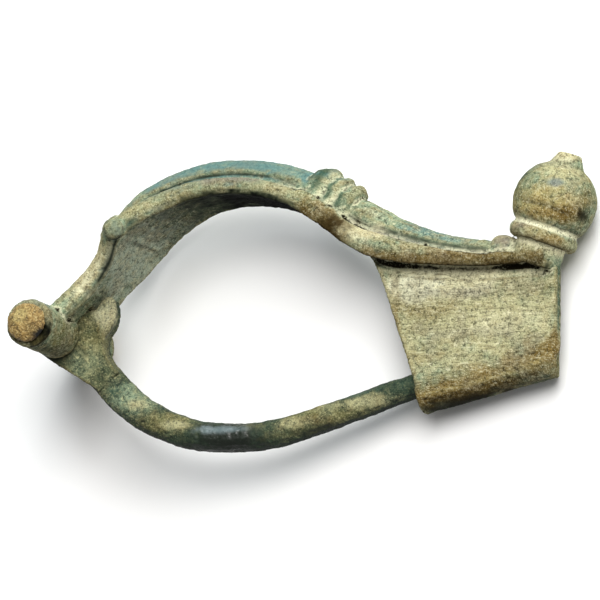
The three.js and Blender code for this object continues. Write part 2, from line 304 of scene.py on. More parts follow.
class PatinaGroup:
    """The corroded copper-alloy surface that all three pieces share."""

    name: str = "aged_copper_alloy"
    colours_in: tuple[tuple[str, tuple[float, ...]], ...] = (
        ("Stain And Painted Light", (0.4, 0.4, 0.25, 1.0)), ("Deposit", (0.62, 0.6, 0.42, 1.0)),
        ("Crevice", (0.02, 0.025, 0.012, 1.0)), ("Wear", (0.3, 0.22, 0.09, 1.0)),
        ("Cloud", (0.2, 0.19, 0.15, 1.0)),
    )
    numbers_in: tuple[tuple[str, float], ...] = (
        ("Hollow", 0.0), ("Ridge", 0.0), ("Speckle", 0.5), ("Deposit Amount", 0.6),
        ("Wear Amount", 0.5), ("Gloss", 0.0), ("Calm", 0.0), ("Brushed", 0.0), ("Fill", 0.0),
    )
    numbers_out: tuple[str, ...] = ("Roughness", "Height", "Polish")
    black_tone: float = 0.12
    wear_tint: float = 0.35
    streak_stretch: Spot = (0.3, 2.0, 1.0)
    dull: float = 0.58
    gloss_effect: float = 0.42

    def __init__(self) -> None:
        """Opens the group, with its sockets and the noises that its methods read."""
        self.tree = bpy.data.node_groups.new(self.name, "ShaderNodeTree")
        self.add_sockets()
        self.book = NodeBook(self.tree)
        self.given = self.book.add("NodeGroupInput").outputs
        place = self.book.add("ShaderNodeTexCoord").outputs["Object"]
        self.broad = self.book.noise(place, 0.32, 4.0)
        self.mottle = self.book.noise(place, 1.3, 4.0, 0.6)
        self.grain = self.book.noise(place, 2.6, 5.0, 0.72)
        self.fine = self.book.noise(place, 6.5, 2.0, 0.7)
        stretched = self.book.add("ShaderNodeMapping")
        stretched.inputs["Scale"].default_value = self.streak_stretch
        self.book.feed(stretched.inputs["Vector"], place)
        self.streaks = self.book.noise(stretched.outputs["Vector"], 2.4, 4.0, 0.75)
        # Black stains and black painted shade stay black, and calm ones even.
        tone = self.book.add("ShaderNodeRGBToBW")
        self.book.link(self.given["Stain And Painted Light"], tone.inputs["Color"])
        rest = self.book.math("SUBTRACT", 1.0, self.given["Calm"], clamp=True)
        self.lively = self.times(self.book.steps(tone.outputs["Val"], 0.0, self.black_tone), rest)
        self.speckle = self.times(self.given["Speckle"], rest)

    def add_sockets(self) -> None:
        """Names all that goes into the group and comes out of it."""
        for name, value in self.colours_in:
            group_socket(self.tree, name, Way.IN, Kind.COLOUR, value)
        for name, value in self.numbers_in:
            group_socket(self.tree, name, Way.IN, Kind.NUMBER, value)
        group_socket(self.tree, "Color", Way.OUT, Kind.COLOUR)
        for name in self.numbers_out:
            group_socket(self.tree, name, Way.OUT, Kind.NUMBER)

    def times(self, one: Any, other: Any) -> Any:
        """Multiplies two outputs or numbers."""
        return self.book.math("MULTIPLY", one, other)

    def plus(self, one: Any, other: Any, share: float = 1.0) -> Any:
        """Adds a share of one output to another."""
        return self.book.math("ADD", one, self.times(other, share))

    def minus(self, one: Any, other: Any, share: float = 1.0) -> Any:
        """Takes a share of one output from another."""
        return self.book.math("SUBTRACT", one, self.times(other, share))

    def shown(self, effect: Effect, follows: Any, *limits: Any) -> Any:
        """Works out how much of an effect shows.

        Args:
            effect: The effect.
            follows: The output that its start and its whole are read on.
            *limits: Outputs that each hold it back.

        Returns:
            Its share, from 0 to 1.
        """
        share = self.times(self.book.steps(follows, effect.start, effect.whole), effect.strength)
        for limit in limits:
            share = self.times(share, limit)
        return share

    def weathered(self) -> Any:
        """Lays warmth, clouds, deposit and wear over the stain.

        Returns:
            The weathered colour.
        """
        given, mix = self.given, self.book.mix
        tinted = mix(self.wear_tint, given["Stain And Painted Light"], given["Wear"])
        warm = self.shown(WARMTH, self.mottle, self.speckle, self.lively)
        colour = mix(warm, given["Stain And Painted Light"], tinted)
        colour = mix(self.shown(CLOUDS, self.broad, self.lively), colour, given["Cloud"])
        loose = self.plus(self.plus(given["Hollow"], self.grain, 0.6), given["Fill"], 0.2)
        settled = self.shown(SETTLED, loose, given["Deposit Amount"], self.lively)
        colour = mix(settled, colour, given["Deposit"])
        rubbed = self.plus(given["Ridge"], self.mottle, 0.6)
        return mix(self.shown(RUBBED, rubbed, given["Wear Amount"], self.lively), colour,
                   given["Wear"])

    def speckled(self, colour: Any) -> Any:
        """Darkens the crevices with grime and painted shade, and lays the dark and the pale specks.

        Args:
            colour: The colour below.

        Returns:
            The speckled colour.
        """
        given, mix = self.given, self.book.mix
        # Grime and painted shade: the hollows are darkened towards the crevice colour.
        depth = self.minus(self.minus(given["Hollow"], self.grain, 0.5), given["Fill"])
        colour = mix(self.shown(DEPTHS, depth), colour, given["Crevice"], "DARKEN")
        dark = self.shown(DARK_GRAINS, self.grain, self.speckle)
        colour = mix(dark, colour, given["Crevice"], "DARKEN")
        pale = mix(0.5, given["Stain And Painted Light"], given["Deposit"])
        colour = mix(self.shown(PALE_GRAINS, self.grain, self.speckle, self.lively), colour, pale)
        colour = mix(self.shown(FLECKS, self.fine, self.speckle, self.lively), colour, pale)
        nicks = self.shown(NICKS, self.fine, self.speckle)
        return mix(nicks, colour, given["Crevice"], "DARKEN")

    def streaked(self, colour: Any) -> Any:
        """Draws the filing lines where the piece is brushed.

        Args:
            colour: The colour below.

        Returns:
            The streaked colour.
        """
        given, mix = self.given, self.book.mix
        dim = self.shown(DIM_STREAKS, self.streaks, given["Brushed"])
        colour = mix(dim, colour, given["Crevice"], "DARKEN")
        bright = self.shown(BRIGHT_STREAKS, self.streaks, given["Brushed"])
        return mix(bright, colour, given["Deposit"])

    def build(self) -> bpy.types.NodeTree:
        """Joins the group up.

        Returns:
            A group that puts out colour, roughness, the height for a bump and the polish.
        """
        given = self.given
        rough = self.plus(self.dull, self.grain, 0.3)
        height = self.plus(self.times(self.grain, 0.6), self.fine, 0.4)
        height = self.plus(height, self.mottle, 0.8)
        height = self.plus(height, self.times(self.streaks, given["Brushed"]), 0.9)
        out = self.book.add("NodeGroupOutput").inputs
        self.book.feed(out["Color"], self.streaked(self.speckled(self.weathered())))
        self.book.feed(out["Roughness"], self.minus(rough, given["Gloss"], self.gloss_effect))
        self.book.feed(out["Height"], height)
        self.book.feed(out["Polish"], self.times(given["Gloss"], given["Gloss"]))
        return self.tree


# ---- Finishes ----


@dataclass(frozen=True)
class PatinaFinish:
    """One piece's version of the shared patina."""

    name: str
    deposit: Colour
    crevice: Colour
    wear: Colour
    cloud: Colour
    speckle: float
    deposit_amount: float
    wear_amount: float
    metal: float
    bump_mm: float
    shine: float
    coat: float = 0.7
    coat_roughness: float = 0.22

    def material(self, group: bpy.types.NodeTree) -> bpy.types.Material:
        """Builds the material around the shared group.

        Args:
            group: The shared patina group.

        Returns:
            The finished material.
        """
        made = bpy.data.materials.new(self.name)
        made.use_nodes = True
        book = NodeBook(made.node_tree)
        shader = made.node_tree.nodes["Principled BSDF"]
        patina = book.add("ShaderNodeGroup", node_tree=group)
        for socket, value in (
            ("Deposit", self.deposit), ("Crevice", self.crevice), ("Wear", self.wear),
            ("Cloud", self.cloud), ("Speckle", self.speckle),
            ("Deposit Amount", self.deposit_amount), ("Wear Amount", self.wear_amount),
        ):
            book.feed(patina.inputs[socket], value)
        for layer, socket in (
            (Layer.HOLLOW, "Hollow"), (Layer.RIDGE, "Ridge"), (Layer.GLOSS, "Gloss"),
            (Layer.CALM, "Calm"), (Layer.BRUSHED, "Brushed"), (Layer.FILL, "Fill"),
        ):
            node = book.add("ShaderNodeAttribute", attribute_name=layer.value)
            book.link(node.outputs["Fac"], patina.inputs[socket])
        # This colour holds painted shade and painted highlights as well as stains.
        stain = book.add("ShaderNodeAttribute", attribute_name=Layer.STAIN_AND_PAINTED_LIGHT.value)
        book.link(stain.outputs["Color"], patina.inputs["Stain And Painted Light"])
        book.link(patina.outputs["Color"], shader.inputs["Base Color"])
        coat = book.math("MULTIPLY", patina.outputs["Polish"], self.coat)
        book.link(coat, shader.inputs["Coat Weight"])
        shader.inputs["Coat Roughness"].default_value = self.coat_roughness
        book.link(patina.outputs["Roughness"], shader.inputs["Roughness"])
        bump = book.add("ShaderNodeBump")
        bump.inputs["Strength"].default_value = 1.0
        bump.inputs["Distance"].default_value = self.bump_mm * MM
        book.link(patina.outputs["Height"], bump.inputs["Height"])
        book.link(bump.outputs["Normal"], shader.inputs["Normal"])
        shader.inputs["Metallic"].default_value = self.metal
        shader.inputs["Specular IOR Level"].default_value = self.shine
        return made


def paint(red: int, green: int, blue: int) -> Colour:
    """Turns a colour of a paint chart into linear light.

    Args:
        red: Its red, from 0 to 255.
        green: Its green, from 0 to 255.
        blue: Its blue, from 0 to 255.

    Returns:
        The colour, each channel from 0 to 1.
    """
    def linear(value: int) -> float:
        """Turns one channel into linear light."""
        share = value / 255.0
        return share / 12.92 if share <= 0.04045 else ((share + 0.055) / 1.055) ** 2.4
    return (linear(red), linear(green), linear(blue))


BUFF = paint(178, 174, 132)
PALE = paint(220, 216, 176)
CHALK = paint(240, 240, 208)
TEAL = paint(84, 114, 108)
VERDIGRIS = paint(88, 122, 118)
SLATE = paint(100, 114, 116)
SAGE = paint(130, 146, 118)
MOSS = paint(162, 172, 152)
OLIVE = paint(104, 102, 64)
BROWN = paint(98, 80, 40)
UMBER = paint(56, 44, 20)
GOLD = paint(172, 156, 100)
TAN = paint(126, 104, 54)
MAUVE = paint(118, 114, 106)
GREEN = paint(50, 76, 60)
DARK = paint(24, 32, 22)
BLACK = paint(6, 8, 4)

BODY_FINISH = PatinaFinish(
    "cast_body_patina", deposit=paint(233, 229, 192), crevice=paint(26, 23, 10),
    wear=paint(140, 122, 76), cloud=paint(128, 122, 100), speckle=0.9, deposit_amount=0.5,
    wear_amount=0.4, metal=0.0, bump_mm=0.16, shine=0.03)
BAR_FINISH = PatinaFinish(
    "worn_bar_patina", deposit=paint(244, 226, 166), crevice=paint(44, 32, 15),
    wear=paint(164, 130, 68), cloud=paint(126, 100, 56), speckle=1.0, deposit_amount=0.5,
    wear_amount=0.4, metal=0.1, bump_mm=0.22, shine=0.35)
PIN_FINISH = PatinaFinish(
    "dark_pin_patina", deposit=paint(202, 198, 148), crevice=paint(12, 20, 15),
    wear=paint(112, 98, 62), cloud=paint(60, 82, 68), speckle=0.95, deposit_amount=0.5,
    wear_amount=0.35, metal=0.0, bump_mm=0.12, shine=0.2)


@dataclass(frozen=True)
class Patch:
    """A patch of colour, for stains, painted shade and painted highlights: a soft ellipsoid about a
    point of the upright frame, in millimetres.
    """

    colour: Colour
    middle: Spot
    reach: Spot
    strength: float = 1.0
    gloss: float = 0.0
    facing: Spot | None = None
    fill: float = 0.0
    calm: float | None = None

    @property
    def quiet(self) -> float:
        """How far the patch quiets the speckle: as much as it shines, unless it is given."""
        return self.gloss if self.calm is None else self.calm


@dataclass(frozen=True)
class Stroke:
    """A line of colour, for stains and painted shade, along points of the upright frame, in
    millimetres.
    """

    colour: Colour
    route: Route
    half_width: float
    strength: float = 1.0
    fill: float = 0.0
    gloss: float = 0.0
    calm: float = 0.0


@dataclass(frozen=True)
class Groove:
    """A line cut into the surface along points of the upright frame, in millimetres."""

    route: Route
    half_width: float
    depth: float
    # How far the groove is darkened with grime and painted shade.
    dirt_and_shade: float = 0.0


# ---- Surfaces that are worked on point by point ----


@dataclass(frozen=True)
class Ripple:
    """A kind of unevenness: its cells to a millimetre, its place in the noise and its layers."""

    cells: float
    lane: float
    layers: int


WAVES = Ripple(0.28, 1, 2)
LUMPS = Ripple(1.1, 0, 3)
PITS = Ripple(1.7, 3, 2)
RAGGED = Ripple(0.7, 7, 4)
WANDER = Ripple(0.6, 11, 2)


class Surface:
    """A mesh's points in the upright frame, with its neighbours, for sculpting and staining."""

    def __init__(self, mesh: bpy.types.Mesh) -> None:
        """Reads the mesh's points and edges.

        Args:
            mesh: A mesh in upright millimetres.
        """
        self.mesh = mesh
        count = len(mesh.vertices)
        flat = np.empty(count * 3)
        mesh.vertices.foreach_get("co", flat)
        self.points = flat.reshape(-1, 3)
        pairs = np.empty(len(mesh.edges) * 2, dtype=np.int64)
        mesh.edges.foreach_get("vertices", pairs)
        one, other = pairs.reshape(-1, 2).T
        self.source = np.concatenate([one, other])
        self.target = np.concatenate([other, one])
        self.valence = np.maximum(np.bincount(self.source, minlength=count), 1)
        self.refresh()

    def refresh(self) -> None:
        """Writes the points back to the mesh and reads its normals again."""
        self.mesh.vertices.foreach_set("co", self.points.ravel())
        self.mesh.update()
        flat = np.empty(len(self.points) * 3)
        self.mesh.vertex_normals.foreach_get("vector", flat)
        self.normals = flat.reshape(-1, 3)

    def averaged(self, values: np.ndarray, rounds: int) -> np.ndarray:
        """Averages values with those of their neighbours.

        Args:
            values: A number, or a row of numbers, for each point.
            rounds: How many times they are averaged.

        Returns:
            The averaged values, in the same form.
        """
        count = len(self.points)
        out = values.astype(float).reshape(count, -1)
        for _ in range(rounds):
            sums = np.stack([
                np.bincount(self.source, weights=column[self.target], minlength=count)
                for column in out.T], axis=1)
            out = 0.5 * out + 0.5 * sums / self.valence[:, None]
        return out.reshape(values.shape)

    def smooth(self, rounds: int) -> None:
        """Relaxes the surface."""
        self.points = self.averaged(self.points, rounds)
        self.refresh()

    def melt(self, weight: np.ndarray, rounds: int) -> None:
        """Relaxes the surface in places.

        Args:
            weight: How far each point follows, from 0 to 1.
            rounds: How many times the surface is averaged.
        """
        relaxed = self.averaged(self.points, rounds)
        self.points = self.points + (relaxed - self.points) * weight[:, None]
        self.refresh()

    def bend_depth(self, rounds: int) -> np.ndarray:
        """Gives how far each point lies below the relaxed surface, in millimetres."""
        relaxed = self.averaged(self.points, rounds)
        return np.einsum("ij,ij->i", relaxed - self.points, self.normals)

    def noise(self, ripple: Ripple, seed: float) -> np.ndarray:
        """Gives smooth noise at each point.

        Args:
            ripple: The kind of noise.
            seed: The piece's own number, so that no two pieces are alike.

        Returns:
            The noise, of about -1 to 1.
        """
        lane = seed + ripple.lane
        shift = Vector((lane * 17.3, lane * 5.1, lane * 9.7))
        return np.array([
            noise.fractal(Vector(p) * ripple.cells + shift, 0.8, 2.1, ripple.layers)
            for p in self.points])

    def distance_to(self, route: Iterable[Spot], reach: float) -> np.ndarray:
        """Gives each point's distance from a route that is laid onto the surface.

        Args:
            route: The route's stops, joined by straight runs.
            reach: How far above or below the surface the route may run.

        Returns:
            The distances along the surface, in millimetres.
        """
        stops = np.array(list(route))
        margin = 2.5 * reach
        close = np.all((self.points > stops.min(axis=0) - margin)
                       & (self.points < stops.max(axis=0) + margin), axis=1)
        points, normals = self.points[close], self.normals[close]
        nearest = np.full(len(points), margin * 2)
        for one, other in zip(stops[:-1], stops[1:]):
            run = other - one
            share = np.clip((points - one) @ run / (run @ run), 0.0, 1.0)
            gap = points - one - share[:, None] * run
            lift = np.einsum("ij,ij->i", gap, normals)
            beside = np.linalg.norm(gap - lift[:, None] * normals, axis=1)
            over = np.maximum(np.abs(lift) - reach, 0.0)
            nearest = np.minimum(nearest, np.hypot(beside, 3.0 * over))
        out = np.full(len(self.points), margin * 2)
        out[close] = nearest
        return out

    def push(self, height: np.ndarray) -> None:
        """Moves each point along its normal by a height in millimetres."""
        self.points = self.points + self.normals * height[:, None]
        self.refresh()

    def store(self, layer: Layer, values: np.ndarray) -> None:
        """Keeps values as an attribute of the mesh's points.

        Args:
            layer: The attribute.
            values: A number, or a colour, for each point.
        """
        kind = "FLOAT_COLOR" if values.ndim == 2 else "FLOAT"
        kept = self.mesh.attributes.new(layer.value, kind, "POINT")
        if values.ndim == 2:
            full = np.concatenate([values, np.ones((len(values), 1))], axis=1)
            kept.data.foreach_set("color", full.ravel())
        else:
            kept.data.foreach_set("value", values)


def smooth_route(stops: Route, steps: int = 6) -> np.ndarray:
    """Rounds a route off through its stops.

    Args:
        stops: The points that the route passes through.
        steps: How many runs are laid between two stops.

    Returns:
        The points of the rounded route.
    """
    given = np.array(stops, dtype=float)
    if len(given) < 3:
        return given
    ends = np.vstack([2 * given[0] - given[1], given, 2 * given[-1] - given[-2]])
    out = []
    for a, b, c, d in zip(ends[:-3], ends[1:-2], ends[2:-1], ends[3:]):
        for step in range(steps):
            t = step / steps
            out.append(0.5 * (2 * b + (c - a) * t + (2 * a - 5 * b + 4 * c - d) * t ** 2
                              + (3 * b - a - 3 * c + d) * t ** 3))
    out.append(given[-1])
    return np.array(out)


def smoothstep(values: np.ndarray, low: float, high: float) -> np.ndarray:
    """Gives 0 below low, 1 above high and a smooth rise between."""
    t = np.clip((values - low) / (high - low), 0.0, 1.0)
    return t * t * (3.0 - 2.0 * t)


# ---- Pieces that are grown from a solid, aged and stained ----


@dataclass
class CastPiece:
    """A piece whose fine mesh is grown from its solid, then aged, stained and painted with shade and
    highlights.
    """

    solid: Solid
    mover: Mover
    slot: Slot
    finish: PatinaFinish
    ground: Colour
    voxel_mm: float
    soften: int
    roughen_mm: float
    pit_mm: float
    seed: float
    merge_mm: float = 1e-3
    line_reach_mm: float = 0.9
    wander_mm: float = 0.08
    worn_rounds: int = 40
    blur_rounds: int = 2
    # How many half widths away a line no longer shows.
    faded: float = 8.0
    # Patches are whole inside the first share of their reach and gone past the second. Their
    # borders are ragged, and so are those of strokes, of what faces a way and of the painted
    # shade on what faces down.
    feather: float = 0.35
    patch_edge: float = 1.15
    ragged: float = 0.4
    stroke_ragged: float = 0.8
    facing_ragged: float = 0.4
    facing_band: tuple[float, float] = (0.05, 0.6)
    # Painted shade on what faces down: its strength, how ragged its border is, and where it starts
    # and is whole.
    underside: float = 0.7
    underside_ragged: float = 0.3
    underside_band: tuple[float, float] = (0.55, 1.0)
    # Sharpening: its strength, the rounds of relaxing that it is measured against, and the most
    # that it acts on, which is less in hollows, so that tight corners don't fold.
    sharpen: float = 0.6
    sharpen_rounds: int = 30
    ridge_most_mm: float = 0.2
    hollow_most_mm: float = 0.06
    # Fine and wide relief: the rounds of relaxing that it is measured against, the height at
    # which it counts in full, and its share.
    fine_relief: tuple[int, float, float] = (6, 0.035, 0.5)
    wide_relief: tuple[int, float, float] = (60, 0.25, 0.6)

    def grooves(self) -> tuple[Groove, ...]:
        """Gives the lines that are cut into the piece."""
        return ()

    def strokes(self) -> tuple[Stroke, ...]:
        """Gives the lines of colour on the piece, stains and painted shade."""
        return ()

    def patches(self) -> tuple[Patch, ...]:
        """Gives the patches of colour on the piece, stains, painted shade and highlights, the lowest
        first.
        """
        return ()

    def worn_lines(self) -> tuple[tuple[Route, float], ...]:
        """Gives the lines along which the piece is worn soft, each with its half width."""
        return ()

    def brushed(self, surface: Surface) -> np.ndarray:
        """Gives how much each point shows fine filing lines."""
        return np.zeros(len(surface.points))

    def fine_mesh(self, upright: UprightFrame) -> bpy.types.Object:
        """Copies the solid, closes it and remeshes it finely in upright millimetres.

        Args:
            upright: The brooch's own frame.

        Returns:
            A new object that holds the fine mesh.
        """
        made = bmesh.new()
        made.from_mesh(frame["nodes"][self.solid.value].data)
        made.transform(upright.to_row.inverted())
        bmesh.ops.remove_doubles(made, verts=made.verts, dist=self.merge_mm)
        name = self.solid.value + "_fine"
        mesh = bpy.data.meshes.new(name)
        made.to_mesh(mesh)
        made.free()
        thing = bpy.data.objects.new(name, mesh)
        bpy.context.scene.collection.objects.link(thing)
        remesh = thing.modifiers.new("grain", "REMESH")
        remesh.mode = "VOXEL"
        remesh.voxel_size = self.voxel_mm
        graph = bpy.context.evaluated_depsgraph_get()
        fine = bpy.data.meshes.new_from_object(thing.evaluated_get(graph))
        thing.modifiers.clear()
        thing.data = fine
        fine.materials.clear()
        return thing

    def carve(self, surface: Surface) -> np.ndarray:
        """Cuts the piece's grooves.

        Args:
            surface: The piece's surface.

        Returns:
            How much grime and painted shade each point holds from them, from 0 to 1.
        """
        dirt_and_shade = np.zeros(len(surface.points))
        depth = np.zeros(len(surface.points))
        wander = surface.noise(WANDER, self.seed) * self.wander_mm
        for groove in self.grooves():
            far = surface.distance_to(smooth_route(groove.route), self.line_reach_mm) + wander
            cut = np.exp(-np.clip(far / groove.half_width, 0, self.faded) ** 2)
            depth = depth + cut * groove.depth
            dirt_and_shade = np.maximum(dirt_and_shade, cut * groove.dirt_and_shade)
        surface.push(-depth)
        return dirt_and_shade

    def age(self, surface: Surface) -> None:
        """Sharpens the surface, roughens it and pits it.

        Args:
            surface: The piece's surface.
        """
        bend = surface.bend_depth(self.sharpen_rounds)
        surface.push(-self.sharpen * np.clip(bend, -self.ridge_most_mm, self.hollow_most_mm))
        waves = surface.noise(WAVES, self.seed) * self.roughen_mm
        lumps = surface.noise(LUMPS, self.seed) * self.roughen_mm
        pits = smoothstep(surface.noise(PITS, self.seed), 0.3, 0.8) * self.pit_mm
        surface.push(waves + lumps - pits)

    def weather(self, surface: Surface) -> None:
        """Stores where deposit settles in hollows and where ridges are rubbed.

        Args:
            surface: The piece's surface.
        """
        hollow = np.zeros(len(surface.points))
        ridge = np.zeros(len(surface.points))
        for rounds, whole_mm, share in (self.fine_relief, self.wide_relief):
            depth = surface.bend_depth(rounds) / whole_mm
            hollow = hollow + np.clip(depth, 0, 1) * share
            ridge = ridge + np.clip(-depth, 0, 1) * share
        surface.store(Layer.HOLLOW, np.clip(surface.averaged(hollow, self.blur_rounds), 0, 1))
        surface.store(Layer.RIDGE, np.clip(surface.averaged(ridge, self.blur_rounds), 0, 1))
        surface.store(Layer.BRUSHED, self.brushed(surface))

    def stain(self, surface: Surface, dirt_and_shade: np.ndarray) -> None:
        """Stores the colour with its painted shade and highlights, the gloss, the calm and the
        filled hollows.

        Args:
            surface: The piece's surface.
            dirt_and_shade: How much grime and painted shade the grooves hold at each point.
        """
        count = len(surface.points)
        ragged = surface.noise(RAGGED, self.seed) * self.ragged
        # Each row holds red, green, blue, gloss, fill and calm.
        coat = np.tile(np.array([*self.ground, 0.0, 0.0, 0.0]), (count, 1))

        def lay(cover: np.ndarray, values: tuple[float, ...]) -> np.ndarray:
            """Covers the coat with a row of values."""
            return coat * (1 - cover[:, None]) + np.array(values) * cover[:, None]

        for patch in self.patches():
            offset = (surface.points - np.array(patch.middle)) / np.array(patch.reach)
            far = np.linalg.norm(offset, axis=1) + ragged
            cover = 1 - smoothstep(far, self.feather, self.patch_edge)
            if patch.facing is not None:
                way = np.array(patch.facing) / np.linalg.norm(patch.facing)
                turned = surface.normals @ way + ragged * self.facing_ragged
                cover = cover * smoothstep(turned, *self.facing_band)
            row = (*patch.colour, patch.gloss, patch.fill, patch.quiet)
            coat = lay(cover * patch.strength, row)
        for stroke in self.strokes():
            far = surface.distance_to(smooth_route(stroke.route), self.line_reach_mm)
            far = far / stroke.half_width + ragged * self.stroke_ragged
            far = np.clip(far, 0, self.faded)
            coat = lay(np.exp(-far ** 2) * stroke.strength,
                       (*stroke.colour, stroke.gloss, stroke.fill, stroke.calm))
        # Grime and painted shade darken the grooves.
        coat = lay(dirt_and_shade, (*DARK, 0.0, 0.0, 1.0))
        # Painted shade: points that face down are darkened.
        below = -surface.normals[:, 2] + ragged * self.underside_ragged
        shade = smoothstep(below, *self.underside_band) * self.underside
        surface.store(Layer.STAIN_AND_PAINTED_LIGHT, coat[:, :3] * (1 - shade[:, None]))
        surface.store(Layer.GLOSS, coat[:, 3])
        surface.store(Layer.FILL, coat[:, 4])
        surface.store(Layer.CALM, coat[:, 5])

    def build(self, upright: UprightFrame, group: bpy.types.NodeTree) -> bpy.types.Object:
        """Makes the piece, dresses it and hands it to the frame.

        Args:
            upright: The brooch's own frame.
            group: The shared patina group.

        Returns:
            The finished object.
        """
        thing = self.fine_mesh(upright)
        surface = Surface(thing.data)
        surface.smooth(self.soften)
        for route, half_width in self.worn_lines():
            far = surface.distance_to(smooth_route(route), self.line_reach_mm)
            surface.melt(np.exp(-(far / half_width) ** 2), self.worn_rounds)
        dirt_and_shade = self.carve(surface)
        self.age(surface)
        self.weather(surface)
        self.stain(surface, dirt_and_shade)
        thing.data.transform(upright.to_row)
        thing.data.shade_smooth()
        thing.data.materials.append(self.finish.material(group))
        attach(thing, self.mover.value)
        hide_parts(self.solid.value)
        return thing


def shifted(route: Route, x: float, y: float, z: float) -> Route:
    """Gives a route moved by a step."""
    return tuple((a + x, b + y, c + z) for a, b, c in route)


# Ways that a patch of stain can face.
DOWN = (0.0, 0.0, -1.0)
TOP = (0.0, 0.0, 1.0)
NEAR = (0.0, -1.0, 0.0)


# ---- The cast body ----


@dataclass
class BroochBody(CastPiece):
    """The cast body: head plate, bow, ribs, foot, ball and catch-plate."""

    solid: Solid = Solid.BODY
    mover: Mover = Mover.BROOCH
    slot: Slot = Slot.BODY
    finish: PatinaFinish = BODY_FINISH
    ground: Colour = SAGE
    voxel_mm: float = 0.166
    soften: int = 3
    roughen_mm: float = 0.045
    pit_mm: float = 0.09
    seed: float = 1.0
    plate_half_thick: float = 0.525
    plate_from: float = 31.0
    plate_top: float = 3.6
    filing: float = 0.75
    finial_base: Spot = (45.85, 0.0, 3.3)
    finial_lean: float = math.radians(20.0)
    ring_steps: int = 16

    # The valley between the middle rib and the edge moulding, the under edge of the near side,
    # and the line where the foot meets the catch-plate.
    bow_valley: Route = (
        (8.4, -2.92, 10.75), (10.75, -2.48, 12.17), (14.0, -2.15, 13.16), (17.56, -2.04, 13.4),
        (21.07, -1.98, 12.9), (23.6, -1.9, 12.0))
    foot_valley: Route = (
        (28.8, -1.71, 8.75), (30.25, -1.6, 7.85), (32.05, -1.51, 7.22), (34.88, -1.38, 6.29),
        (38.17, -1.21, 5.41), (41.6, -1.05, 4.86))
    under_edge: Route = (
        (2.2, -4.1, 1.1), (3.63, -3.63, 2.57), (5.13, -3.49, 4.21), (6.53, -4.28, 5.8),
        (7.54, -5.21, 7.3))
    foot_line: Route = (
        (30.9, -1.3, 4.55), (33.5, -0.9, 4.0), (37.5, -0.9, 3.45), (42.0, -0.8, 3.15),
        (46.8, -0.8, 3.2))
    ribs: tuple[Route, ...] = (
        ((25.0, -2.25, 10.5), (25.8, -1.8, 11.6), (26.5, -1.1, 12.7), (26.9, 0.0, 13.2)),
        ((26.2, -2.2, 9.6), (26.9, -1.7, 10.8), (27.5, -1.0, 11.7), (27.8, 0.0, 12.1)),
        ((27.2, -2.1, 8.85), (27.9, -1.6, 9.9), (28.4, -1.0, 10.7), (28.7, 0.0, 11.1)),
    )

    rib_feet: Route = (
        (25.1, -2.2, 11.6), (26.2, -2.15, 10.9), (27.3, -2.1, 10.05), (28.9, -2.0, 8.8))

    def finial_ring(self, height: float, radius: float) -> Route:
        """Lays a ring about the finial's leaning axis.

        Args:
            height: How far above the finial's base it lies, along the axis.
            radius: Its radius.

        Returns:
            The ring's points, from the outer end round by the far side.
        """
        axis = Vector((math.sin(self.finial_lean), 0.0, math.cos(self.finial_lean)))
        across = Vector((math.cos(self.finial_lean), 0.0, -math.sin(self.finial_lean)))
        middle = Vector(self.finial_base) + axis * height
        turns = (2 * math.pi * step / self.ring_steps for step in range(self.ring_steps + 1))
        spots = ((middle + across * (radius * math.cos(t)), radius * math.sin(t)) for t in turns)
        return tuple((spot.x, y, spot.z) for spot, y in spots)

    def worn_lines(self) -> tuple[tuple[Route, float], ...]:
        """Wears the rib feet on both sides and the foot of the hump before the finial.

        Returns:
            The lines, each with its half width.
        """
        far_feet = tuple((x, -y, z) for x, y, z in self.rib_feet)
        hump_foot = ((42.2, -1.2, 4.8), (43.5, -1.4, 4.7), (44.8, -1.3, 4.7))
        return ((self.rib_feet, 0.55), (far_feet, 0.55), (hump_foot, 0.4))

    def brushed(self, surface: Surface) -> np.ndarray:
        """Marks the catch-plate's broad faces.

        Args:
            surface: The piece's surface.

        Returns:
            How much each point shows fine filing lines.
        """
        x, y, z = surface.points.T
        flat = smoothstep(np.abs(surface.normals[:, 1]), 0.8, 0.95)
        flat = flat * (x > self.plate_from) * (z < self.plate_top)
        return flat * (np.abs(y) < self.plate_half_thick * 1.6) * self.filing

    def grooves(self) -> tuple[Groove, ...]:
        """Gives the valleys, the gaps between the ribs and the worn corner.

        Returns:
            The grooves.
        """
        between = tuple(
            Groove(tuple((x - 0.6, side * y, z + 0.4) for x, y, z in rib), 0.3, 0.05)
            for rib in self.ribs for side in (1, -1))
        return (
            Groove(self.bow_valley, 0.17, 0.07, 0.75),
            Groove(shifted(self.foot_valley, 0, 0, 0.08), 0.2, 0.07, 0.8),
            Groove(self.under_edge, 0.18, 0.04, 0.3),
            Groove(self.foot_line, 0.2, 0.06),
            Groove(self.finial_ring(3.6, 2.8), 0.25, 0.05),
            Groove(self.finial_ring(2.3, 2.5), 0.3, -0.1),
            Groove(((48.2, -0.4, -4.9), (48.2, 1.2, -5.8)), 0.7, 0.22),
            Groove(((46.3, -2.9, 8.6), (47.7, -3.6, 8.2), (49.2, -3.4, 7.6)), 0.3, 0.1, 0.2),
            *between,
        )

